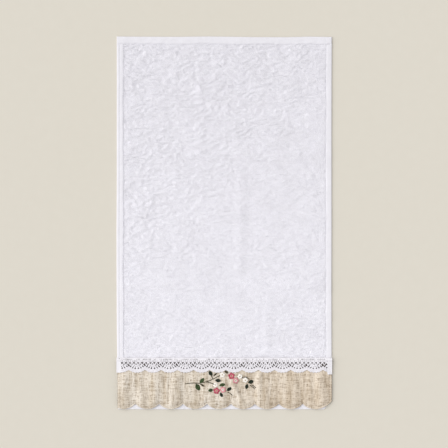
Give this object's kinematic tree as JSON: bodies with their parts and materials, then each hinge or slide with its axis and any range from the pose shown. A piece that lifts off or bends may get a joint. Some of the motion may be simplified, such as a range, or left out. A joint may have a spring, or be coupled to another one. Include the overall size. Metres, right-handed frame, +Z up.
{
  "type": "hand towel",
  "caption": "Rectangular terry hand towel lying flat, with a lace trim over a scalloped linen band at its lower end.",
  "frame": {"origin": "middle of the flat underside, on the surface the towel lies on", "axes": "+X across the towel, +Y along its length towards the plain hemmed end, +Z up"},
  "size_m": [0.4046, 0.7, 0.0068],
  "materials": {
    "terry_panel": "soft matt looped cotton terry, white with a faint cool tint",
    "linen_band": "matt natural linen with slubby uneven yarns and a stitched flower spray",
    "lace_trim": "white cotton crochet lace, open and matt"
  },
  "bodies": {
    "root": {"terry_panel": "terry_panel", "linen_band": "linen_band", "lace_trim": "lace_trim"}
  },
  "joints": []
}
